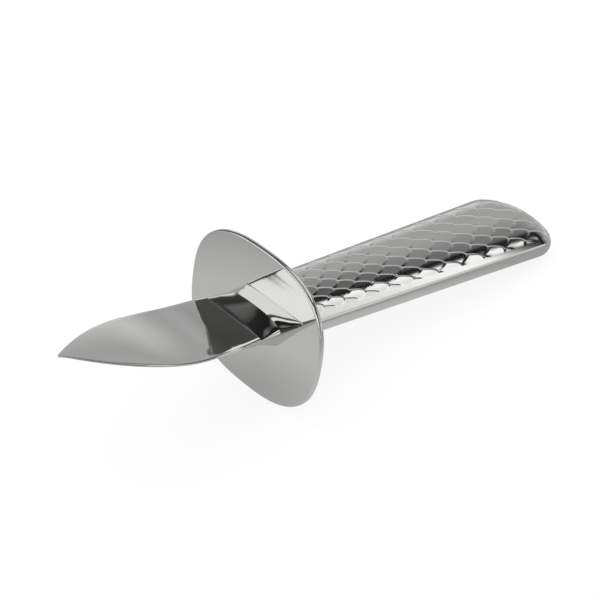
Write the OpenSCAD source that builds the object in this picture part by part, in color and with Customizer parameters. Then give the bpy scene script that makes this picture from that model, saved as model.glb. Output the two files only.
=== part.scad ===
// Oyster knife in polished steel: a leaf blade with a thick root, a plate guard
// and a flat hollow handle with an embossed face above and below.
// X runs along the knife towards the tip, Y across the blade and Z up.
// The origin is the middle of the guard's front face, on the knife's axis.

/* [Blade] */
// Reach of the blade from the guard's front face to the tip
blade_reach = 59.5; // [50:0.1:72]
// Full width of the blade at its widest place
blade_width = 24.6; // [22:0.1:30]
// Distance of the widest place from the guard
blade_widest = 25.1; // [20:0.1:30]
// Height of the blade's upper face above the knife's axis
blade_rise = 2.76; // [1.6:0.02:3.4]
// Thickness along the middle of the blade, where the scoop ends
blade_thick = 3.2; // [2.2:0.1:4]
// Thickness along the middle of the blade at the tip
tip_thick = 0.9; // [0.6:0.1:1.5]
// Thickness of the blade's edge
edge_thick = 0.3; // [0.2:0.05:0.6]
// Distance from the guard at which the blade starts to bend up
bend_start = 12; // [8:0.5:20]
// Radius of the blade's upward bend
bend_radius = 123; // [90:1:200]
// Slope of the blade beyond its bend, in degrees
bend_slope = 11; // [5:0.1:14]

/* [Root] */
// Full width of the root at the guard
root_width = 21.6; // [19:0.1:23]
// Full thickness of the root at the guard
root_thick = 8.3; // [7:0.1:10]
// Height of the root's plain side face at the guard
root_side = 1.4; // [1:0.1:2.4]
// Length of the scoop from the guard to the blade's flat
scoop_length = 6.95; // [5:0.05:9]
// Distance from the guard at which the blade is flat across
flat_start = 13; // [11:0.5:17]
// Distance from the guard at which the side face has thinned to the edge
side_fade = 22; // [16:0.5:26]

/* [Tang] */
// Length of the tang behind the guard
tang_length = 62; // [40:1:80]
// Width of the tang
tang_width = 9; // [6:0.5:12]
// Thickness of the tang
tang_thick = 3; // [2:0.1:4]
// Clearance round the tang in the guard's slot
slot_gap = 0.1; // [0.05:0.05:0.2]

/* [Guard] */
// Full width of the guard
guard_width = 50.4; // [44:0.2:60]
// Full height of the guard
guard_height = 41; // [34:0.2:48]
// Thickness of the guard's plate
guard_thick = 1.55; // [1.2:0.05:2.5]
// Roundness of the guard's outline, from an ellipse at 2 to squarer shapes
guard_power = 2.6; // [2:0.05:4]
// Radius of the guard's rounded rim
rim_radius = 0.6; // [0.3:0.05:0.6]

/* [Handle] */
// Length of the handle behind the guard
handle_length = 104.1; // [90:0.1:120]
// Full width of the handle at the guard
handle_front = 21.3; // [19:0.1:23]
// Full width of the handle where its rounded end begins
handle_rear = 28.2; // [24:0.1:32]
// Full height of the plain band along the handle's sides
band_height = 4; // [3:0.1:5]
// Bulge of the band's middle beyond its edges
band_bulge = 0.6; // [0.2:0.05:1]
// Height of the crown above the band, on each face
crown_height = 2.05; // [1.4:0.05:2.6]
// Length of the handle's rounded end
end_length = 9; // [7:0.1:12]
// Roundness of the handle's end, from an ellipse at 2 to squarer shapes
end_power = 2.25; // [2:0.05:3]
// Length over which the crown falls to the band at the end
crown_fall = 6; // [4:0.1:9]
// Thickness of the pressed shells
shell_wall = 0.9; // [0.6:0.05:1.2]

/* [Hidden] */

// Steps of the meshes along and across each piece
scoop_steps = 12;
mid_steps = 14;
tip_steps = 22;
face_steps = 12;
guard_steps = 96;
rim_steps = 5;
end_steps = 14;
band_steps = 4;
crown_steps = 12;

// Depth by which a cutting shape passes the face that it cuts
cut = 1;
// Drop of the blade's upper face from its middle to its edges
face_drop = 0.08;
// Half width left at the blunt end of the tip
tip_half = 0.12;
// Power of the section's curve at the root, above and below
root_power = 2.5;
// Power of the upper face's curve where the blade is flat across
face_power = 4.5;
// Power of the underside's curve along the blade
belly_power = 2;
// Power of the outline's curve from the guard to the widest place
shoulder_power = 1.2;
// Power of the outline's curve from the widest place to the tip
leaf_power = 2.13;
// Power of the scoop's curve, hollow above 1
scoop_power = 1.5;
// Power of the curve by which the side face rises to the flat
edge_rise_power = 1.6;
// Power of the crown's curve as it falls to the band at the end
fall_power = 3;
// Share of the handle's width left flat along the top of the crown
crown_flat = 0.06;

// Lengths worked out from the sizes above
root_half = root_width / 2;
leaf_half = blade_width / 2;
root_top = root_thick / 2;
side_half = root_side / 2;
bend_length = bend_radius * sin(bend_slope);
bend_height = bend_radius * (1 - cos(bend_slope));
band_half = band_height / 2;
handle_top = band_half + crown_height;
handle_end = guard_thick + handle_length - band_bulge;
end_start = handle_end - end_length;
fall_start = handle_end - crown_fall;

// Value between a and b at share t
function mix(a, b, t) = a + (b - a) * t;
// Share of the way from 0 to 1, held within those ends
function share(t) = min(max(t, 0), 1);
// Smooth share, level at both ends
function smooth(t) = share(t) * share(t) * (3 - 2 * share(t));
// Rounded arch over -1 to 1: 1 in the middle and 0 at both ends
function arch(s, p, q) = pow(max(1 - pow(abs(s), p), 0), 1 / q);

// Blade: places along its axis, close together at the scoop and the tip
function blade_stations() = [
    for (i = [0:scoop_steps]) scoop_length * i / scoop_steps,
    for (i = [1:mid_steps]) mix(scoop_length, blade_widest, i / mid_steps),
    for (i = [1:tip_steps]) mix(blade_widest, blade_reach, sin(90 * i / tip_steps))
];

// Half width of the blade at x
function leaf_width(x) = x < blade_widest
    ? leaf_half - (leaf_half - root_half) * pow(1 - x / blade_widest, shoulder_power)
    : max(leaf_half * (1 - pow((x - blade_widest) / (blade_reach - blade_widest), leaf_power)), tip_half);

// Height that the upward bend adds at x
function bend(x) = x < bend_start ? 0
    : x < bend_start + bend_length ? bend_radius - sqrt(pow(bend_radius, 2) - pow(x - bend_start, 2))
    : bend_height + (x - bend_start - bend_length) * tan(bend_slope);

// Share of the root's extra thickness that is left at x
function scoop(x) = pow(share(1 - x / scoop_length), scoop_power);

// Middle of the upper face at x
function face_middle(x) = mix(blade_rise, root_top, scoop(x)) + bend(x);
// Upper corner of the side face at x
function face_edge(x) = bend(x)
    + mix(side_half, blade_rise - face_drop, 1 - pow(share(1 - x / flat_start), edge_rise_power));
// Height of the side face at x
function side_height(x) = mix(root_side, edge_thick, smooth(x / side_fade));
// Thickness along the middle at x
function middle_thick(x) = mix(blade_thick, tip_thick, x / blade_reach)
    + (root_thick - blade_thick) * scoop(x);

// Outline of the blade's section at x, once round from the far upper corner
function blade_ring(x) =
    let (
        half = leaf_width(x),
        top = face_middle(x),
        edge = face_edge(x),
        low_edge = edge - side_height(x),
        low = min(top - middle_thick(x), low_edge),
        t = share(x / flat_start),
        upper_power = mix(root_power, face_power, t),
        lower_power = mix(root_power, belly_power, t),
        lower_root = mix(root_power, 1, t)
    )
    concat(
        [for (i = [-face_steps:face_steps])
            let (s = sin(90 * i / face_steps))
            [x, half * s, mix(edge, top, arch(s, upper_power, root_power))]],
        [for (i = [face_steps:-1:-face_steps])
            let (s = sin(90 * i / face_steps))
            [x, half * s, mix(low_edge, low, arch(s, lower_power, lower_root))]]
    );

// Guard: outline of the plate drawn in by an inset, at place x along the axis
function guard_ring(x, inset) = [
    for (i = [0:guard_steps - 1])
        let (
            a = -360 * i / guard_steps,
            c = cos(a),
            s = sin(a),
            p = 2 / guard_power
        )
        [x, (guard_width / 2 - inset) * sign(c) * pow(abs(c), p),
            (guard_height / 2 - inset) * sign(s) * pow(abs(s), p)]
];

// Handle: half width of the band's edge at x behind the guard's front face
function bar_half(x) = mix(handle_front, handle_rear, (x - guard_thick) / (end_start - guard_thick)) / 2;

// Outline of the handle at one height, with the part of its width, its growth and its reach
function handle_outline(z, part, grow, reach, front) =
    let (
        p = 2 / end_power,
        half = part * (bar_half(front) + grow),
        bow = [
            for (i = [-end_steps:end_steps])
                let (
                    a = 90 * i / end_steps,
                    x = end_start + (reach - end_start) * pow(cos(a), p)
                )
                [-x, part * (bar_half(x) + grow) * sign(a) * pow(abs(sin(a)), p), z]
        ]
    )
    concat([[-front, -half, z]], bow, [[-front, half, z]]);

// Closed solid through rings in order along an axis, each clockwise when seen from the axis's far end
module loft(rings) {
    n = len(rings[0]);
    last = len(rings) - 1;
    polyhedron(
        points = [for (r = rings) each r],
        faces = concat(
            [[for (i = [n - 1:-1:0]) i]],
            [[for (i = [0:n - 1]) last * n + i]],
            [for (k = [0:last - 1]) for (i = [0:n - 1]) each [
                [k * n + i, k * n + (i + 1) % n, (k + 1) * n + i],
                [(k + 1) * n + i, k * n + (i + 1) % n, (k + 1) * n + (i + 1) % n]
            ]]
        )
    );
}

// The handle's half solid above the middle, drawn in by an inset
module handle_half(inset, floor, front) {
    side = band_half - inset / 2;
    crown = handle_top - inset - side;
    below = floor < 0 ? [handle_outline(floor, 1, band_bulge - inset, handle_end + band_bulge - inset, front)] : [];
    band = [
        for (i = [0:band_steps])
            let (grow = band_bulge * (1 - pow(i / band_steps, 2)) - inset)
            handle_outline(side * i / band_steps, 1, grow, handle_end + grow, front)
    ];
    crowned = [
        for (i = [1:crown_steps])
            let (
                part = mix(1, crown_flat, i / crown_steps),
                reach = fall_start + crown_fall * pow(part, 2 / fall_power)
            )
            handle_outline(side + crown * (1 - pow(part, 2)), part, -inset, reach - inset, front)
    ];
    loft(concat(below, band, crowned));
}

// One pressed shell of the handle, open below and at the guard
module handle_shell() {
    difference() {
        handle_half(0, 0, guard_thick);
        handle_half(shell_wall, -cut, guard_thick - cut);
    }
}

// The flat bar that runs from the root through the guard into the handle
module tang(gap) {
    translate([-guard_thick - tang_length - gap, -tang_width / 2 - gap, -tang_thick / 2 - gap])
        cube([guard_thick + tang_length + gap + cut, tang_width + 2 * gap, tang_thick + 2 * gap]);
}

module blade() {
    color([0.80, 0.80, 0.79]) union() {
        loft([for (x = blade_stations()) blade_ring(x)]);
        tang(0);
    }
}

module guard() {
    color([0.74, 0.74, 0.73]) difference() {
        loft([for (k = [0:2 * rim_steps + 1])
            let (
                back = k <= rim_steps,
                a = 90 * (back ? k : 2 * rim_steps + 1 - k) / rim_steps,
                depth = rim_radius * (1 - sin(a)),
                step_in = rim_radius * (1 - cos(a))
            )
            guard_ring(back ? -guard_thick + step_in : -step_in, depth)]);
        tang(slot_gap);
    }
}

module handle_upper_shell() {
    color([0.66, 0.66, 0.65]) handle_shell();
}

module handle_lower_shell() {
    color([0.58, 0.58, 0.57]) mirror([0, 0, 1]) handle_shell();
}

module handle_core() {
    color([0.42, 0.36, 0.28]) difference() {
        union() {
            handle_half(shell_wall, 0, guard_thick);
            mirror([0, 0, 1]) handle_half(shell_wall, 0, guard_thick);
        }
        tang(0);
    }
}

blade();
guard();
handle_upper_shell();
handle_lower_shell();
handle_core();
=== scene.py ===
"""Looks of the oyster knife: polished steel blade, plate guard and embossed hollow handle.

Lengths in the classes are millimetres in the solid model's frame: X runs along the knife
towards the tip, Y across it and Z up, from the middle of the guard's front face.
"""

import logging
from collections.abc import Sequence
from dataclasses import dataclass, field
from enum import Enum
from typing import Any

import bmesh
import bpy
import numpy as np
from mathutils import Matrix, Vector

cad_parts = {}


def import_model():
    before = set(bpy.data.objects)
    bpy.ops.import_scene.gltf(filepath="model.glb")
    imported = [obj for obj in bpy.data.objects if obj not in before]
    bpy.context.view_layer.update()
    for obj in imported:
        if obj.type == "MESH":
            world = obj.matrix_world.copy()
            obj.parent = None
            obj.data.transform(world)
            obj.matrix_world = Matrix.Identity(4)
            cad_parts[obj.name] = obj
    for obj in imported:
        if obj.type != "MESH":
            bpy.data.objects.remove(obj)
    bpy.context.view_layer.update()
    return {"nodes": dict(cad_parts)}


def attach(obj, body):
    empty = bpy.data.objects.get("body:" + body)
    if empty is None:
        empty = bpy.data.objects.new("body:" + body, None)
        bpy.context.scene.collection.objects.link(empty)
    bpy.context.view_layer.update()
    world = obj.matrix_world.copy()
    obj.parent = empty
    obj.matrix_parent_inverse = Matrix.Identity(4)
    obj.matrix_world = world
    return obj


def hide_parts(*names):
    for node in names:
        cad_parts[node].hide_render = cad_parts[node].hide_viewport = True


LOG = logging.getLogger("oyster_knife")
MM = 0.001
BODY = "root"
SHARP_ANGLE = np.radians(32)
WELD_GAP = 1.0e-6
SHORTEST_EDGE = 1.0e-7
WHITE = (1.0, 1.0, 1.0, 1.0)

# The knife rests on its guard's lower edge and on the underside of the handle's end
REST_SLOPE = 0.1645
GUARD_FOOT = (-0.8, 0.0, -20.55)
FLOOR_UP = Vector((REST_SLOPE, 0.0, 1.0)).normalized()

Numbers = float | np.ndarray
Stops = Sequence[tuple[float, float]]


def share(t: np.ndarray) -> np.ndarray:
    """Holds an array between 0 and 1."""
    return np.clip(t, 0.0, 1.0)


def smooth(t: np.ndarray) -> np.ndarray:
    """Smooth share: 3 t squared less 2 t cubed, level at 0 and at 1."""
    t = share(t)
    return t * t * (3.0 - 2.0 * t)


def mix(a: Numbers, b: Numbers, t: Numbers) -> Numbers:
    """Value between a and b at share t."""
    return a + (b - a) * t


def arch(s: np.ndarray, p: Numbers, q: float) -> np.ndarray:
    """Rounded arch over -1 to 1: one less |s| to the power p, to the power 1 over q."""
    return np.maximum(1.0 - np.abs(s) ** p, 0.0) ** (1.0 / q)


def grid_quads(rows: int, columns: int, first: int = 0, flip: bool = False, ring: bool = False) -> np.ndarray:
    """Corner numbers of the quads of a grid of points stored row by row.

    Args:
        rows: Number of rows.
        columns: Number of points in a row.
        first: Number of the grid's first point.
        flip: True turns the faces over.
        ring: True closes each row on itself.
    Returns:
        Array of four corner numbers for each quad.
    """
    i = np.arange(rows - 1)[:, None] * columns
    j = np.arange(columns if ring else columns - 1)[None, :]
    k = (j + 1) % columns
    quads = np.stack([i + j, i + k, i + columns + k, i + columns + j], axis=-1).reshape(-1, 4) + first
    return quads[:, ::-1] if flip else quads


def strip_quads(a: np.ndarray, b: np.ndarray) -> np.ndarray:
    """Quads between two equal rows of point numbers, a and b."""
    return np.stack([a[:-1], a[1:], b[1:], b[:-1]], axis=-1)


def weld_points(mesh: bpy.types.Mesh) -> None:
    """Merges points that lie together and drops faces without area.

    Args:
        mesh: The mesh, changed in place.
    """
    bm = bmesh.new()
    bm.from_mesh(mesh)
    bmesh.ops.remove_doubles(bm, verts=bm.verts, dist=WELD_GAP)
    bmesh.ops.dissolve_degenerate(bm, edges=bm.edges, dist=SHORTEST_EDGE)
    bm.to_mesh(mesh)
    bm.free()


def make_piece(name: str, points: np.ndarray, quads: np.ndarray, weld: bool = False) -> bpy.types.Object:
    """Makes a smooth-shaded mesh object of quads, with its sharp corners marked.

    Args:
        name: Name of the object.
        points: Points in millimetres, one per row.
        quads: Four point numbers per row.
        weld: True merges points that lie together.
    Returns:
        The object, linked to the scene at the origin.
    """
    mesh = bpy.data.meshes.new(name)
    mesh.vertices.add(len(points))
    mesh.vertices.foreach_set("co", (points * MM).astype(np.float32).ravel())
    mesh.loops.add(quads.size)
    mesh.loops.foreach_set("vertex_index", quads.astype(np.int32).ravel())
    mesh.polygons.add(len(quads))
    mesh.polygons.foreach_set("loop_start", np.arange(0, quads.size, 4, dtype=np.int32))
    mesh.update(calc_edges=True)
    if weld:
        weld_points(mesh)
    mesh.polygons.foreach_set("use_smooth", np.ones(len(mesh.polygons), dtype=bool))
    mesh.set_sharp_from_angle(angle=SHARP_ANGLE)
    mesh.validate()
    piece = bpy.data.objects.new(name, mesh)
    bpy.context.scene.collection.objects.link(piece)
    LOG.info("%s: %d points, %d faces", name, len(mesh.vertices), len(mesh.polygons))
    return piece


def node_material(name: str) -> bpy.types.Material:
    """Makes a material that has nodes.

    Args:
        name: Name of the material.
    Returns:
        The new material.
    """
    mat = bpy.data.materials.new(name)
    mat.use_nodes = True
    return mat


def add_node(tree: bpy.types.NodeTree, kind: str, **values: Any) -> bpy.types.Node:
    """Adds a node and sets its inputs by name.

    Args:
        tree: Node tree that gets the node.
        kind: Type of the node.
        **values: Value of each named input, with an underscore for each space in its name.
    Returns:
        The new node.
    """
    node = tree.nodes.new(kind)
    for name, value in values.items():
        node.inputs[name.replace("_", " ")].default_value = value
    return node


def mix_tones(
    tree: bpy.types.NodeTree,
    part: bpy.types.NodeSocket,
    a: Sequence[float] = WHITE,
    b: Sequence[float] = WHITE,
) -> bpy.types.Node:
    """Adds a mixer of two colours.

    Args:
        tree: Node tree that gets the mixer.
        part: Output that gives the share of the second colour.
        a: First colour, where nothing is linked to it.
        b: Second colour, where nothing is linked to it.
    Returns:
        The mixer.
    """
    mixer = add_node(tree, "ShaderNodeMix")
    mixer.data_type = "RGBA"
    mixer.inputs["A"].default_value = a
    mixer.inputs["B"].default_value = b
    tree.links.new(part, mixer.inputs["Factor"])
    return mixer


def mix_shaders(
    tree: bpy.types.NodeTree, part: bpy.types.NodeSocket, first: bpy.types.Node, second: bpy.types.Node
) -> bpy.types.Node:
    """Adds a mixer of two shaders.

    Args:
        tree: Node tree that gets the mixer.
        part: Output that gives the share of the second shader.
        first: Node of the first shader.
        second: Node of the second shader.
    Returns:
        The mixer.
    """
    mixer = add_node(tree, "ShaderNodeMixShader")
    tree.links.new(part, mixer.inputs["Fac"])
    tree.links.new(first.outputs[0], mixer.inputs[1])
    tree.links.new(second.outputs[0], mixer.inputs[2])
    return mixer


def fill_ramp(ramp: bpy.types.ColorRamp, stops: Stops) -> None:
    """Sets the stops of a ramp.

    Args:
        ramp: The ramp, changed in place.
        stops: Place and grey of each stop, in rising order.
    """
    while len(ramp.elements) < len(stops):
        ramp.elements.new(0.5)
    for element, (place, grey) in zip(ramp.elements, stops):
        element.position = place
        element.color = (grey, grey, grey, 1.0)


class Slot(Enum):
    """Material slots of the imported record."""

    POLISHED = "polished_steel"
    EMBOSSED = "embossed_steel"
    FILLER = "handle_filler"


@dataclass(frozen=True)
class SteelFinish:
    """Polished stainless steel whose gloss varies a little from place to place."""

    slot: Slot
    colour: tuple[float, float, float] = (0.74, 0.74, 0.73)
    cloud_tint: float = 0.96
    gloss_low: float = 0.02
    gloss_high: float = 0.045
    cloud_scale: float = 60.0
    cloud_detail: float = 2.0
    cloud_low: float = 0.3
    cloud_high: float = 0.7
    grain_scale: float = 900.0
    grain_detail: float = 1.0
    grain_stretch: float = 0.06
    grain_depth: float = 0.004
    grain_strength: float = 0.25

    def material(self) -> bpy.types.Material:
        """Builds the metal: soft clouds in the roughness and a faint polishing grain along the knife.

        Returns:
            The new material.
        """
        mat = node_material(self.slot.value)
        tree, link = mat.node_tree, mat.node_tree.links.new
        shader = tree.nodes["Principled BSDF"]
        shader.inputs["Metallic"].default_value = 1.0
        place = add_node(tree, "ShaderNodeTexCoord")
        clouds = add_node(tree, "ShaderNodeTexNoise", Scale=self.cloud_scale, Detail=self.cloud_detail)
        link(place.outputs["Object"], clouds.inputs["Vector"])
        gloss = add_node(tree, "ShaderNodeMapRange", From_Min=self.cloud_low, From_Max=self.cloud_high,
                         To_Min=self.gloss_low, To_Max=self.gloss_high)
        link(clouds.outputs["Fac"], gloss.inputs["Value"])
        link(gloss.outputs["Result"], shader.inputs["Roughness"])
        darker = (*(c * self.cloud_tint for c in self.colour), 1.0)
        tint = mix_tones(tree, clouds.outputs["Fac"], (*self.colour, 1.0), darker)
        link(tint.outputs["Result"], shader.inputs["Base Color"])
        lay = add_node(tree, "ShaderNodeMapping", Scale=(self.grain_stretch, 1.0, 1.0))
        link(place.outputs["Object"], lay.inputs["Vector"])
        grain = add_node(tree, "ShaderNodeTexNoise", Scale=self.grain_scale, Detail=self.grain_detail)
        link(lay.outputs["Vector"], grain.inputs["Vector"])
        bump = add_node(tree, "ShaderNodeBump", Strength=self.grain_strength, Distance=self.grain_depth * MM)
        link(grain.outputs["Fac"], bump.inputs["Height"])
        link(bump.outputs["Normal"], shader.inputs["Normal"])
        return mat


@dataclass(frozen=True)
class FillerFinish:
    """Dull hard cement with small pits, as poured round the tang."""

    slot: Slot = Slot.FILLER
    light: tuple[float, float, float] = (0.42, 0.37, 0.29)
    dark: tuple[float, float, float] = (0.28, 0.24, 0.18)
    roughness: float = 0.85
    speck_scale: float = 700.0
    speck_detail: float = 4.0

    def material(self) -> bpy.types.Material:
        """Builds the cement: two browns mixed by a fine noise.

        Returns:
            The new material.
        """
        mat = node_material(self.slot.value)
        tree, link = mat.node_tree, mat.node_tree.links.new
        shader = tree.nodes["Principled BSDF"]
        shader.inputs["Roughness"].default_value = self.roughness
        place = add_node(tree, "ShaderNodeTexCoord")
        specks = add_node(tree, "ShaderNodeTexNoise", Scale=self.speck_scale, Detail=self.speck_detail)
        link(place.outputs["Object"], specks.inputs["Vector"])
        tone = mix_tones(tree, specks.outputs["Fac"], (*self.dark, 1.0), (*self.light, 1.0))
        link(tone.outputs["Result"], shader.inputs["Base Color"])
        return mat


@dataclass
class BladeForging:
    """Leaf blade with its flared root, and the tang that runs back through the guard."""

    finish: bpy.types.Material
    reach: float = 59.5
    leaf_half: float = 12.3
    widest: float = 25.1
    root_half: float = 10.8
    rise: float = 2.76
    thick: float = 3.2
    tip_thick: float = 0.9
    edge_thick: float = 0.3
    bend_start: float = 13.5
    bend_radius: float = 108.0
    bend_slope: float = np.radians(11.0)
    root_top: float = 4.15
    root_side: float = 1.4
    collar_length: float = 7.0
    collar_power: float = 0.85
    crease_at: float = 7.0
    crease_width: float = 0.2
    dip_slope: float = 0.03
    dip_from: float = 15.5
    dip_round: float = 3.0
    flat_start: float = 13.0
    side_fade: float = 22.0
    shoulder_power: float = 1.2
    leaf_power: float = 2.13
    root_power: float = 2.5
    neck_power: float = 3.2
    neck_length: float = 4.0
    face_power: float = 40.0
    edge_rise_power: float = 1.6
    face_drop: float = 0.22
    crown_drop: float = 0.9
    crown_start: float = 21.0
    crown_full: float = 44.0
    tip_half: float = 0.12
    tang_front: float = 1.0
    tang_back: float = 63.55
    tang_half: float = 4.5
    tang_thick: float = 3.0
    across: int = 64
    root_steps: int = 59
    crease_steps: int = 50
    crease_before: float = 0.6
    crease_after: float = 0.4
    neck_steps: int = 89
    leaf_steps: int = 129

    def half_width(self, x: np.ndarray) -> np.ndarray:
        """Half width of the blade: a root that flares by a power to the widest place, then a leaf.

        Args:
            x: Distance before the guard's front face.
        Returns:
            Half width at each place.
        """
        flare = (self.leaf_half - self.root_half) * share(1 - x / self.widest) ** self.shoulder_power
        leaf = self.leaf_half * share((x - self.widest) / (self.reach - self.widest)) ** self.leaf_power
        return np.maximum(self.leaf_half - flare - leaf, self.tip_half)

    def bend(self, x: np.ndarray) -> np.ndarray:
        """Height added by the upward bend: nothing, then an arc of a circle, then a straight slope.

        Args:
            x: Distance before the guard's front face.
        Returns:
            Height at each place.
        """
        length = self.bend_radius * np.sin(self.bend_slope)
        t = np.clip(x - self.bend_start, 0.0, length)
        arc = self.bend_radius - np.sqrt(self.bend_radius**2 - t * t)
        return arc + np.maximum(x - self.bend_start - length, 0.0) * np.tan(self.bend_slope)

    def collar(self, x: np.ndarray) -> np.ndarray:
        """Share of the root's extra thickness left at x: a low pillow that falls to the crease by a power."""
        return share(1 - x / self.collar_length) ** self.collar_power

    def dip(self, x: np.ndarray) -> np.ndarray:
        """Depth of the dish up to the bend: its slope times the run squared over the run and a rounding."""
        run = np.maximum(self.dip_from - x, 0.0)
        return self.dip_slope * run * run / (run + self.dip_round)

    def upper_power(self, x: np.ndarray) -> np.ndarray:
        """Power of the upper face's arch: the oval root, a flatter oval, then from the crease on a flat.

        Args:
            x: Distance before the guard's front face.
        Returns:
            Power at each place. The higher it is, the flatter the face and the tighter its edges.
        """
        neck = mix(self.root_power, self.neck_power, smooth(x / self.neck_length))
        flat = smooth((x - self.crease_at + self.crease_width) / self.crease_width)
        return mix(neck, self.face_power, flat)

    def stations(self) -> np.ndarray:
        """Places along the blade: close at the crease, and closing by a sine towards the tip.

        Returns:
            Column of distances before the guard's front face.
        """
        first, last = self.crease_at - self.crease_before, self.crease_at + self.crease_after
        turn = np.linspace(0.0, np.pi / 2, self.leaf_steps + 1)[1:]
        return np.concatenate([
            np.linspace(0.0, first, self.root_steps + 1),
            np.linspace(first, last, self.crease_steps + 1)[1:],
            np.linspace(last, self.widest, self.neck_steps + 1)[1:],
            mix(self.widest, self.reach, np.sin(turn)),
        ])[:, None]

    def sections(self) -> tuple[np.ndarray, np.ndarray]:
        """Upper and lower faces as grids of points.

        Each section's height runs from the side face's corner to the middle by a rounded arch of
        the place across. The leaf adds a crown: one less the square of the place across, times its
        drop, a smooth share of the length and the square of the width. The lower face goes from
        the root's oval to a parabola across, by a straight share of the length.

        Returns:
            Grid of the upper face and grid of the lower face, each of stations by places across.
        """
        x = self.stations()
        s = np.sin(np.linspace(-np.pi / 2, np.pi / 2, self.across + 1))[None, :]
        half = self.half_width(x)
        lift = self.bend(x)
        crown = self.crown_drop * smooth((x - self.crown_start) / (self.crown_full - self.crown_start))
        crown = crown * (half / self.leaf_half) ** 2
        flat = self.rise - self.face_drop
        edge_rise = 1 - share(1 - x / self.flat_start) ** self.edge_rise_power
        edge = lift + mix(self.root_side / 2, flat, edge_rise)
        collar = self.collar(x)
        middle = mix(self.rise - self.dip(x), self.root_top, collar) + lift
        side = mix(self.root_side, self.edge_thick, smooth(x / self.side_fade))
        depth = mix(self.thick, self.tip_thick, x / self.reach)
        depth = depth + (2 * self.root_top - self.thick) * collar
        low_edge = edge - side
        low = np.minimum(middle - depth, low_edge)
        t = share(x / self.flat_start)
        upper = mix(edge, middle, arch(s, self.upper_power(x), self.root_power))
        upper = upper + crown * (1 - s * s)
        lower_arch = np.maximum(1 - np.abs(s) ** mix(self.root_power, 2.0, t), 0.0)
        lower = mix(low_edge, low, lower_arch ** (1 / mix(self.root_power, 1.0, t)))
        x = x + 0 * s
        return np.stack([x, half * s, upper], -1), np.stack([x, half * s, lower], -1)

    def build(self) -> bpy.types.Object:
        """Makes the closed blade, from both faces, side faces and ends, with the tang's bar.

        Returns:
            The blade, which stands for the solid model's blade.
        """
        upper, lower = self.sections()
        stations, places = upper.shape[:2]
        ring = np.concatenate([upper, lower[:, ::-1]], axis=1)
        count = ring.shape[1]
        quads = [grid_quads(stations, count, ring=True)]
        top = np.arange(places)
        under = count - 1 - top
        last = (stations - 1) * count
        quads.append(strip_quads(under, top))
        quads.append(strip_quads(top + last, under + last))
        points = ring.reshape(-1, 3)
        bar, bar_quads = self.tang_bar(len(points))
        points = np.concatenate([points, bar])
        piece = make_piece("blade_forging", points, np.concatenate([*quads, bar_quads]))
        piece.data.materials.append(self.finish)
        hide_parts("blade")
        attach(piece, BODY)
        return piece

    def tang_bar(self, first: int) -> tuple[np.ndarray, np.ndarray]:
        """Flat bar from inside the root back into the handle.

        Args:
            first: Number of the bar's first point.
        Returns:
            Its eight corners and its six quads.
        """
        x, y, z = np.meshgrid([-self.tang_back, self.tang_front], [-self.tang_half, self.tang_half],
                              [-self.tang_thick / 2, self.tang_thick / 2], indexing="ij")
        points = np.stack([x, y, z], -1).reshape(-1, 3)
        quads = np.array([[0, 1, 3, 2], [4, 6, 7, 5], [0, 4, 5, 1], [2, 3, 7, 6], [0, 2, 6, 4], [1, 5, 7, 3]])
        return points, quads + first


@dataclass
class GuardPlate:
    """Upright plate with a rounded rim and a slot for the tang."""

    finish: bpy.types.Material
    half_width: float = 25.2
    half_height: float = 20.5
    thick: float = 1.55
    power: float = 2.6
    rim_radius: float = 0.6
    slot_half_width: float = 4.6
    slot_half_height: float = 1.6
    around: int = 360
    rim_steps: int = 10
    lip: float = 0.03

    def directions(self) -> tuple[np.ndarray, np.ndarray]:
        """Cosine and sine of the directions of a ring's points."""
        a = np.linspace(0.0, 2 * np.pi, self.around, endpoint=False)
        return np.cos(a), np.sin(a)

    def outline(self, inset: float, x: float) -> np.ndarray:
        """Rounded outline of the plate: cosine and sine, each to 2 over the plate's power.

        Args:
            inset: Distance that the outline is drawn in by.
            x: Place along the knife.
        Returns:
            Ring of points.
        """
        (c, s), p = self.directions(), 2.0 / self.power
        y = (self.half_width - inset) * np.sign(c) * np.abs(c) ** p
        z = (self.half_height - inset) * np.sign(s) * np.abs(s) ** p
        return np.stack([np.full_like(y, x), y, z], -1)

    def slot_ring(self, x: float) -> np.ndarray:
        """Slot's outline: the rectangle's edge in the direction of each outline point.

        Args:
            x: Place along the knife.
        Returns:
            Ring of points.
        """
        c, s = self.directions()
        reach = 1.0 / np.maximum(np.abs(c) / self.slot_half_width, np.abs(s) / self.slot_half_height)
        return np.stack([np.full_like(c, x), c * reach, s * reach], -1)

    def build(self) -> bpy.types.Object:
        """Makes the plate as rings carried round from the slot over the front, the rim and the back.

        Returns:
            The guard, which stands for the solid model's guard.
        """
        turn = np.linspace(0.0, np.pi / 2, self.rim_steps + 1)
        insets = self.rim_radius * (1 - np.sin(turn))
        drops = self.rim_radius * (1 - np.cos(turn))
        front = [self.outline(inset, -drop) for inset, drop in zip(insets, drops)]
        back = [self.outline(inset, -self.thick + drop) for inset, drop in zip(insets[::-1], drops[::-1])]
        inner = self.rim_radius + self.lip
        rings = [self.slot_ring(0.0), self.outline(inner, 0.0), *front]
        rings += [*back, self.outline(inner, -self.thick), self.slot_ring(-self.thick), self.slot_ring(0.0)]
        points = np.concatenate(rings)
        quads = grid_quads(len(rings), self.around, ring=True, flip=True)
        piece = make_piece("guard_plate", points, quads, weld=True)
        piece.data.materials.append(self.finish)
        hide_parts("guard")
        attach(piece, BODY)
        return piece


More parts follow.
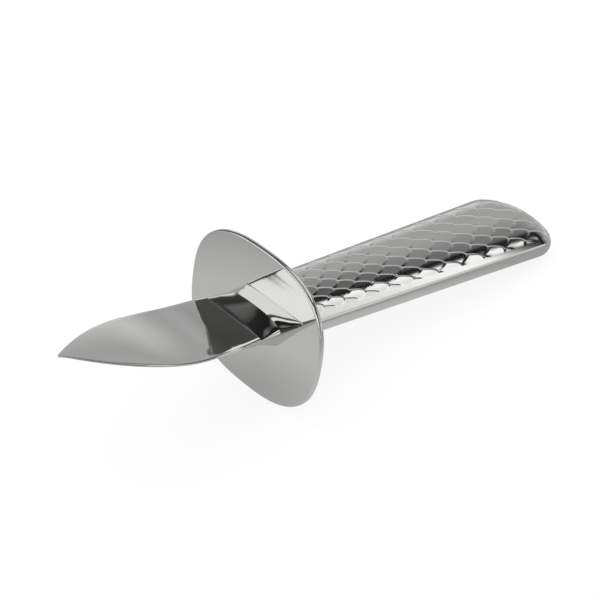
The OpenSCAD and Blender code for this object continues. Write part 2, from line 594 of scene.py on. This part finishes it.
@dataclass(frozen=True)
class FishScales:
    """Overlapping fish scales in rows along the handle, their rounded free ends towards its end."""

    row_pitch: float = 3.6
    period: float = 8.66
    first_row: float = -11.8
    phase_at: float = 61.1
    stagger: float = 0.5
    nose: float = 0.5
    lap: float = 0.15
    depth: float = 0.28
    edge: float = 0.42
    fall: float = 0.75
    dome: float = 0.22
    narrow_from: float = 62.0
    narrow_over: float = 32.0
    narrowing: float = 0.19
    side_step: float = 0.92
    side_spread: float = 0.02
    crowd_from: float = 45.0
    crowding: float = 0.0005

    def lattice(self, x: np.ndarray, y: np.ndarray) -> tuple[np.ndarray, np.ndarray]:
        """Row number and place along the row of points on the face.

        The rows draw together by a straight share towards the guard, and by a square of the
        distance on the side of positive Y. The scales grow shorter towards the guard by a square
        of the distance.

        Args:
            x: Distance behind the guard's front face.
            y: Place across the handle.
        Returns:
            Row number and count of scales along the row, both as real numbers.
        """
        near = share((self.narrow_from - x) / self.narrow_over)
        across = (y + self.side_step * near) / (1 - self.narrowing * near)
        across = across + self.side_spread * np.maximum(across, 0.0) ** 2
        row = (across - self.first_row) / self.row_pitch
        along = (x - self.phase_at) / self.period - self.crowding * np.maximum(self.crowd_from - x, 0.0) ** 2
        return row, along

    def height(self, x: np.ndarray, y: np.ndarray) -> np.ndarray:
        """Relief of the scales, rising to the full depth at the middle of their free ends.

        A scale covers one row to either side, and its end falls back by the nose times the square
        of the distance from its row. The scales are laid one over the other from the handle's end
        to the guard. Each is highest at its free end, falls in a straight line over one period
        behind it, and falls to its sides by a square. Its step down has one width square to the arc.

        Args:
            x: Distance behind the guard's front face.
            y: Place across the handle.
        Returns:
            Height at each point.
        """
        row, along = self.lattice(x, y)
        base = np.floor(row)
        relief = np.zeros_like(x)
        layers = []
        # The two rows on either side of a point hold all scales that can reach it
        for step in (-1, 0, 1, 2):
            line = base + step
            side = row - line
            start = np.where(np.mod(line, 2) == 0, 0.0, -self.stagger)
            end = np.ceil(along + self.nose * side**2 - start - self.lap) + start
            layers += [(end, side), (end + 1, side)]
        ends, sides = (np.stack(rows) for rows in zip(*layers))
        order = np.argsort(-ends, axis=0, kind="stable")
        ends = np.take_along_axis(ends, order, axis=0)
        sides = np.take_along_axis(sides, order, axis=0)
        for end, side in zip(ends, sides):
            back = end - self.nose * side**2 - along
            lean = np.sqrt(1 + (2 * self.nose * side * self.period / self.row_pitch) ** 2)
            cover = smooth(back * self.period / (self.edge * lean)) * (np.abs(side) <= 1.0)
            body = 1 - self.fall * share(back) - self.dome * side**2
            relief = mix(relief, body, cover)
        return self.depth * relief


class Face(Enum):
    """The handle's two pressed faces."""

    UPPER = 1
    LOWER = -1


@dataclass
class HandleShell:
    """One pressed half of the hollow handle, with its plain side band and embossed crown."""

    finish: bpy.types.Material
    face: Face
    scales: FishScales = field(default_factory=FishScales)
    front: float = 1.55
    length: float = 104.1
    front_half: float = 10.65
    rear_half: float = 14.1
    band_half: float = 2.0
    bulge: float = 0.6
    crown: float = 2.05
    shoulder: float = 0.8
    shoulder_width: float = 6.0
    shoulder_power: float = 2.0
    end_length: float = 9.0
    end_power: float = 2.25
    crown_fall: float = 6.0
    fall_power: float = 3.0
    wall: float = 0.9
    margin_near: float = 1.3
    margin_far: float = 0.5
    margin_fade: float = 1.4
    margin_end: float = 1.2
    relief_sink: float = 0.55
    crown_steps: int = 50
    band_steps: int = 6
    side_steps: int = 320
    end_steps: int = 36

    @property
    def end(self) -> float:
        """Distance of the band edge's end behind the guard's front face."""
        return self.front + self.length - self.bulge

    @property
    def end_start(self) -> float:
        """Distance at which the handle's rounded end begins."""
        return self.end - self.end_length

    def bar_half(self, x: np.ndarray) -> np.ndarray:
        """Half width of the band's edge at x, on a straight taper."""
        return mix(self.front_half, self.rear_half, (x - self.front) / (self.end_start - self.front))

    def side_half(self, x: np.ndarray) -> np.ndarray:
        """Half width that the crown and the margin go by: the taper, level from the rounded end on."""
        return self.bar_half(np.minimum(x, self.end_start))

    def skin(self, inset: float) -> np.ndarray:
        """Grid of the pressed skin, drawn in by an inset.

        Rows go from one edge of the seam over the band and the crown to the other edge, and columns
        from the guard to the middle of the end. A row is an outline at one share of the half width:
        straight sides and a rounded end. The crown's height over it is one less the square of that
        share, which grows with the square of the handle's width, and a low rounded shoulder.

        Args:
            inset: Distance inside the outer skin.
        Returns:
            Grid of points, rows by columns.
        """
        b = np.linspace(0.0, 1.0, self.band_steps + 1)[:-1]
        part = np.linspace(1.0, 0.0, self.crown_steps + 1)
        side = self.band_half - inset / 2
        top = self.band_half + self.crown - inset - side
        grow = np.concatenate([self.bulge * (1 - b**2), 0 * part]) - inset
        level = np.concatenate([side * b, side + 0 * part])
        width = np.concatenate([0 * b + 1, part])
        pull = self.crown_fall * (1 - part ** (2 / self.fall_power))
        reach = np.concatenate([self.end + 0 * b, self.end - pull])
        halves = (level, grow, width, reach)
        level, grow, width, reach = (np.concatenate([v, v[-2::-1]])[:, None] for v in halves)
        half_rows = np.ones(len(b) + len(part) - 1)
        sign = np.concatenate([-half_rows, [0.0], half_rows])[:, None]
        run = np.linspace(self.front, self.end_start, self.side_steps + 1)[None, :-1]
        turn = np.linspace(0.0, np.pi / 2, self.end_steps + 1)[None, :]
        p = 2.0 / self.end_power
        bow = self.end_start + (reach + grow - self.end_start) * np.sin(turn) ** p
        x = np.concatenate([run + 0 * level, bow], axis=1)
        fade = np.concatenate([np.ones_like(run), np.maximum(np.cos(turn), 0.0) ** p], axis=1)
        y = sign * width * (self.bar_half(x) + grow) * fade
        y[:, -1] = 0.0
        bar = self.side_half(x)
        away = (1 - width) * bar / self.shoulder_width
        shoulder_share = self.shoulder / self.crown
        rise = (1 - shoulder_share) * (1 - width**2) * (bar / self.rear_half) ** 2
        rise = rise + shoulder_share * (1 - share(1 - away) ** self.shoulder_power)
        return np.stack([-x, y, level + top * rise], -1)

    def emboss(self, skin: np.ndarray) -> np.ndarray:
        """Presses the fish scales into the outer skin, faded out at the plain margin.

        Args:
            skin: Grid of the smooth outer skin.
        Returns:
            Grid of the same points with the relief added to their height.
        """
        x, y, z = -skin[..., 0], skin[..., 1], skin[..., 2]
        away = self.side_half(x) - np.abs(y)
        plain = np.where(y > 0, self.margin_near, self.margin_far)
        mask = smooth((away - plain) / self.margin_fade) * (z > self.band_half)
        mask = mask * smooth((self.end - self.margin_end - x) / self.margin_fade)
        relief = self.scales.height(x, y) - self.relief_sink * self.scales.depth
        out = skin.copy()
        out[..., 2] = z + relief * mask
        return out

    def build(self) -> bpy.types.Object:
        """Makes the shell from its outer and inner skins, the seam's edge and the edge at the guard.

        Returns:
            The shell, which stands for the solid model's shell of the same face.
        """
        outer = self.emboss(self.skin(0.0))
        inner = self.skin(self.wall)
        rows, columns = outer.shape[:2]
        count = rows * columns
        number = np.arange(count).reshape(rows, columns)
        quads = [
            grid_quads(rows, columns),
            grid_quads(rows, columns, first=count, flip=True),
            strip_quads(number[0] + count, number[0]),
            strip_quads(number[-1], number[-1] + count),
            strip_quads(number[:, 0], number[:, 0] + count),
        ]
        points = np.concatenate([outer, inner]).reshape(-1, 3)
        quads = np.concatenate(quads)
        if self.face is Face.LOWER:
            points = points * np.array([1.0, 1.0, -1.0])
            quads = quads[:, ::-1]
        word = self.face.name.lower()
        piece = make_piece(f"{word}_scale_shell", points, quads, weld=True)
        piece.data.materials.append(self.finish)
        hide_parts(f"handle_{word}_shell")
        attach(piece, BODY)
        return piece


@dataclass
class HandleCore:
    """Cement that fills the shells round the tang: the solid model's own piece."""

    finish: bpy.types.Material
    node: bpy.types.Object

    def build(self) -> bpy.types.Object:
        """Gives the core its cement.

        Returns:
            The core.
        """
        self.node.data.materials.clear()
        self.node.data.materials.append(self.finish)
        LOG.info("%s: dressed", self.node.name)
        return self.node


@dataclass
class PhotoStudio:
    """Pale floor under the resting knife, and the soft light and grey cards of a studio round it.

    Each set of cards is pairs of an angle above the floor in degrees and a grey. One set stands
    behind the handle's end, one beside the knife and one before its tip.
    """

    floor_half: float = 380.0
    floor_gap: float = 0.05
    floor_shade: float = 0.60
    shown_shade: float = 0.22
    shown_glow: float = 0.84
    key_power: float = 1.1
    key_size: float = 0.7
    key_height: float = 0.8
    key_offset: tuple[float, float, float] = (0.1, -0.25, 0.0)
    fill_strength: float = 0.75
    beside_from: tuple[float, float] = (-0.52, -0.38)
    before_from: tuple[float, float] = (0.46, 0.52)
    behind: Stops = (
        (-90.0, 0.70), (-12.0, 0.80), (-3.0, 0.90), (3.0, 0.78), (7.0, 0.66), (11.0, 0.57), (14.0, 0.50),
        (16.5, 0.46), (19.0, 0.46), (22.0, 0.49), (24.5, 0.42), (27.0, 0.30), (30.0, 0.17), (32.0, 0.05),
        (33.2, 0.012), (36.3, 0.012), (37.5, 1.32), (39.2, 1.28), (41.0, 1.05), (45.5, 0.90), (46.5, 0.03),
        (62.0, 0.03), (70.0, 0.50), (90.0, 0.62),
    )
    beside: Stops = (
        (-90.0, 0.70), (-10.0, 0.60), (10.0, 0.20), (25.0, 0.10), (40.0, 0.06), (46.0, 0.05), (49.5, 0.20),
        (53.0, 0.03), (62.0, 0.02), (70.0, 0.50), (90.0, 0.62),
    )
    before: Stops = (
        (-90.0, 0.80), (-25.0, 0.84), (-12.0, 0.85), (5.0, 0.60), (12.0, 0.50), (15.0, 1.20), (31.0, 1.25),
        (33.0, 0.14), (37.5, 0.10), (38.7, 0.07), (39.2, 1.40), (46.5, 1.30), (48.5, 0.02), (62.0, 0.02),
        (70.0, 0.50), (90.0, 0.62),
    )
    # Painted shade and light on the floor where the steel reflects it: share of distance from the guard's
    # foot and grey, darkest at the foot as a painted contact shadow, lightest in a painted band about 30 to
    # 60 mm out
    painted_floor_shading: Stops = (
        (0.0, 0.43), (0.03, 0.48), (0.075, 0.615), (0.16, 0.60), (0.21, 0.53), (0.25, 0.45), (0.5, 0.42),
    )

    def floor(self) -> bpy.types.Object:
        """Makes the tilted floor plane that touches the guard's foot and the handle's end.

        Returns:
            The floor.
        """
        foot = Vector(GUARD_FOOT) * MM - FLOOR_UP * self.floor_gap * MM
        along = Vector((1.0, 0.0, -REST_SLOPE)).normalized()
        across = Vector((0.0, 1.0, 0.0))
        half = self.floor_half * MM
        turns = ((-1, -1), (1, -1), (1, 1), (-1, 1))
        corners = [foot + along * a * half + across * b * half for a, b in turns]
        mesh = bpy.data.meshes.new("studio_floor")
        mesh.from_pydata([tuple(c) for c in corners], [], [(0, 1, 2, 3)])
        plane = bpy.data.objects.new("studio_floor", mesh)
        bpy.context.scene.collection.objects.link(plane)
        mesh.materials.append(self.floor_finish())
        return plane

    def floor_finish(self) -> bpy.types.Material:
        """White floor for the camera, painted shade and light by distance from the guard's foot where the
        steel reflects it, and plain grey for other light.

        Returns:
            The new material.
        """
        mat = node_material("white_floor")
        tree, link = mat.node_tree, mat.node_tree.links.new
        tree.nodes.clear()
        path = add_node(tree, "ShaderNodeLightPath")
        pale = add_node(tree, "ShaderNodeBsdfDiffuse", Color=(self.floor_shade,) * 3 + (1.0,))
        shown = add_node(tree, "ShaderNodeBsdfDiffuse", Color=(self.shown_shade,) * 3 + (1.0,))
        glow = add_node(tree, "ShaderNodeEmission", Strength=self.shown_glow)
        added = add_node(tree, "ShaderNodeAddShader")
        link(shown.outputs[0], added.inputs[0])
        link(glow.outputs[0], added.inputs[1])
        # The steel sees the floor's painted shade and light; other rays see plain grey
        mirrored = mix_shaders(tree, path.outputs["Is Glossy Ray"], pale, self.paint_floor_shading(tree))
        either = mix_shaders(tree, path.outputs["Is Camera Ray"], mirrored, added)
        out = add_node(tree, "ShaderNodeOutputMaterial")
        link(either.outputs[0], out.inputs["Surface"])
        return mat

    def paint_floor_shading(self, tree: bpy.types.NodeTree) -> bpy.types.Node:
        """Painted shade and light of the floor as the polished steel reflects it, by distance from the
        guard's foot: a painted contact shadow at the foot, a lighter painted band further out, and darker
        again beyond.

        Args:
            tree: Nodes of the floor's material.
        Returns:
            Its emission node.
        """
        place = add_node(tree, "ShaderNodeTexCoord")
        off = add_node(tree, "ShaderNodeVectorMath")
        off.operation = "SUBTRACT"
        off.inputs[1].default_value = tuple(Vector(GUARD_FOOT) * MM)
        tree.links.new(place.outputs["Object"], off.inputs[0])
        far = add_node(tree, "ShaderNodeVectorMath")
        far.operation = "LENGTH"
        tree.links.new(off.outputs["Vector"], far.inputs[0])
        reach = add_node(tree, "ShaderNodeMapRange", From_Max=self.floor_half * MM)
        tree.links.new(far.outputs["Value"], reach.inputs["Value"])
        tones = add_node(tree, "ShaderNodeValToRGB")
        fill_ramp(tones.color_ramp, self.painted_floor_shading)
        tree.links.new(reach.outputs["Result"], tones.inputs["Fac"])
        # The painted shade and light glow from the floor in the steel's reflections, in place of its own
        # lighting
        glow = add_node(tree, "ShaderNodeEmission")
        tree.links.new(tones.outputs["Color"], glow.inputs["Color"])
        return glow

    def card_tones(
        self, tree: bpy.types.NodeTree, level: bpy.types.NodeSocket, cards: Stops
    ) -> bpy.types.NodeSocket:
        """Greys of one set of cards, placed by the sine of their angle above the floor.

        Args:
            tree: Nodes of the world.
            level: Output that goes from 0 straight below the floor to 1 straight above it.
            cards: Angle and grey of each stop.
        Returns:
            Output of the greys.
        """
        bands = add_node(tree, "ShaderNodeValToRGB")
        tree.links.new(level, bands.inputs["Fac"])
        fill_ramp(bands.color_ramp, [((float(np.sin(np.radians(a))) + 1) / 2, grey) for a, grey in cards])
        return bands.outputs["Color"]

    def surroundings(self) -> None:
        """Builds the studio round the knife: white where the camera looks, and grey cards for the steel.

        The steel sees grey walls that darken upwards, a ring of lamps with dark gaps under and over
        it, and a grey ceiling. The cards behind, beside and before the knife pass into one another
        by the direction's X.
        """
        world = bpy.data.worlds.new("studio")
        bpy.context.scene.world = world
        world.use_nodes = True
        tree, link = world.node_tree, world.node_tree.links.new
        tree.nodes.clear()
        place = add_node(tree, "ShaderNodeTexCoord")
        height = add_node(tree, "ShaderNodeVectorMath")
        height.operation = "DOT_PRODUCT"
        height.inputs[1].default_value = tuple(FLOOR_UP)
        link(place.outputs["Generated"], height.inputs[0])
        level = add_node(tree, "ShaderNodeMapRange", From_Min=-1.0, From_Max=1.0)
        link(height.outputs["Value"], level.inputs["Value"])
        axes = add_node(tree, "ShaderNodeSeparateXYZ")
        link(place.outputs["Generated"], axes.inputs["Vector"])
        tones = self.card_tones(tree, level.outputs["Result"], self.behind)
        for cards, (first, last) in ((self.beside, self.beside_from), (self.before, self.before_from)):
            passed = add_node(tree, "ShaderNodeMapRange", From_Min=first, From_Max=last)
            link(axes.outputs["X"], passed.inputs["Value"])
            both = mix_tones(tree, passed.outputs["Result"])
            link(tones, both.inputs["A"])
            link(self.card_tones(tree, level.outputs["Result"], cards), both.inputs["B"])
            tones = both.outputs["Result"]
        mirrored = add_node(tree, "ShaderNodeBackground")
        link(tones, mirrored.inputs["Color"])
        fill = add_node(tree, "ShaderNodeBackground", Color=WHITE, Strength=self.fill_strength)
        white = add_node(tree, "ShaderNodeBackground", Color=WHITE, Strength=1.0)
        path = add_node(tree, "ShaderNodeLightPath")
        gloss = mix_shaders(tree, path.outputs["Is Glossy Ray"], fill, mirrored)
        seen = mix_shaders(tree, path.outputs["Is Camera Ray"], gloss, white)
        out = add_node(tree, "ShaderNodeOutputWorld")
        link(seen.outputs[0], out.inputs["Surface"])

    def key_lamp(self) -> None:
        """Hangs one large soft lamp over the floor for the knife's shadow."""
        light = bpy.data.lights.new("key_lamp", "AREA")
        light.shape = "SQUARE"
        light.size = self.key_size
        light.energy = self.key_power
        lamp = bpy.data.objects.new("key_lamp", light)
        lamp.location = FLOOR_UP * self.key_height + Vector(self.key_offset)
        lamp.rotation_euler = (-lamp.location).to_track_quat("-Z", "Y").to_euler()
        lamp.visible_glossy = False
        bpy.context.scene.collection.objects.link(lamp)

    def build(self) -> None:
        """Sets up the floor, the surroundings and the lamp."""
        self.floor()
        self.surroundings()
        self.key_lamp()


@dataclass
class PhotoCamera:
    """Camera fitted to the photograph: place in millimetres, axes, lens, and nearest and farthest metres."""

    place: tuple[float, float, float] = (237.6, 246.2, 219.8)
    right: tuple[float, float, float] = (-0.7467, 0.6521, 0.1314)
    up: tuple[float, float, float] = (-0.2659, -0.4738, 0.8396)
    lens: float = 96.0
    sensor: float = 36.0
    nearest: float = 0.01
    farthest: float = 20.0

    def build(self) -> bpy.types.Object:
        """Makes the camera and hands it to the scene.

        Returns:
            The camera.
        """
        data = bpy.data.cameras.new("photo_camera")
        data.lens = self.lens
        data.sensor_width = self.sensor
        data.sensor_fit = "HORIZONTAL"
        data.clip_start = self.nearest
        data.clip_end = self.farthest
        right = Vector(self.right).normalized()
        back = right.cross(Vector(self.up)).normalized()
        up = back.cross(right)
        turn = Matrix((right, up, back)).transposed()
        camera = bpy.data.objects.new("photo_camera", data)
        camera.matrix_world = Matrix.Translation(Vector(self.place) * MM) @ turn.to_4x4()
        bpy.context.scene.collection.objects.link(camera)
        bpy.context.scene.camera = camera
        return camera


def main() -> None:
    """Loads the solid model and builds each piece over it."""
    logging.basicConfig(level=logging.INFO, format="%(name)s: %(message)s")
    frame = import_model()
    scene = bpy.context.scene
    scene.view_settings.view_transform = "Standard"
    PhotoCamera().build()
    polished = SteelFinish(Slot.POLISHED).material()
    pressed = SteelFinish(Slot.EMBOSSED, colour=(0.72, 0.72, 0.71), gloss_low=0.05, gloss_high=0.08)
    embossed = pressed.material()
    filler = FillerFinish().material()
    pieces = [
        BladeForging(polished).build(),
        GuardPlate(polished).build(),
        HandleShell(embossed, Face.UPPER).build(),
        HandleShell(embossed, Face.LOWER).build(),
        HandleCore(filler, frame["nodes"]["handle_core"]).build(),
    ]
    PhotoStudio().build()
    LOG.info("%d pieces", len(pieces))


if __name__ == "__main__":
    main()
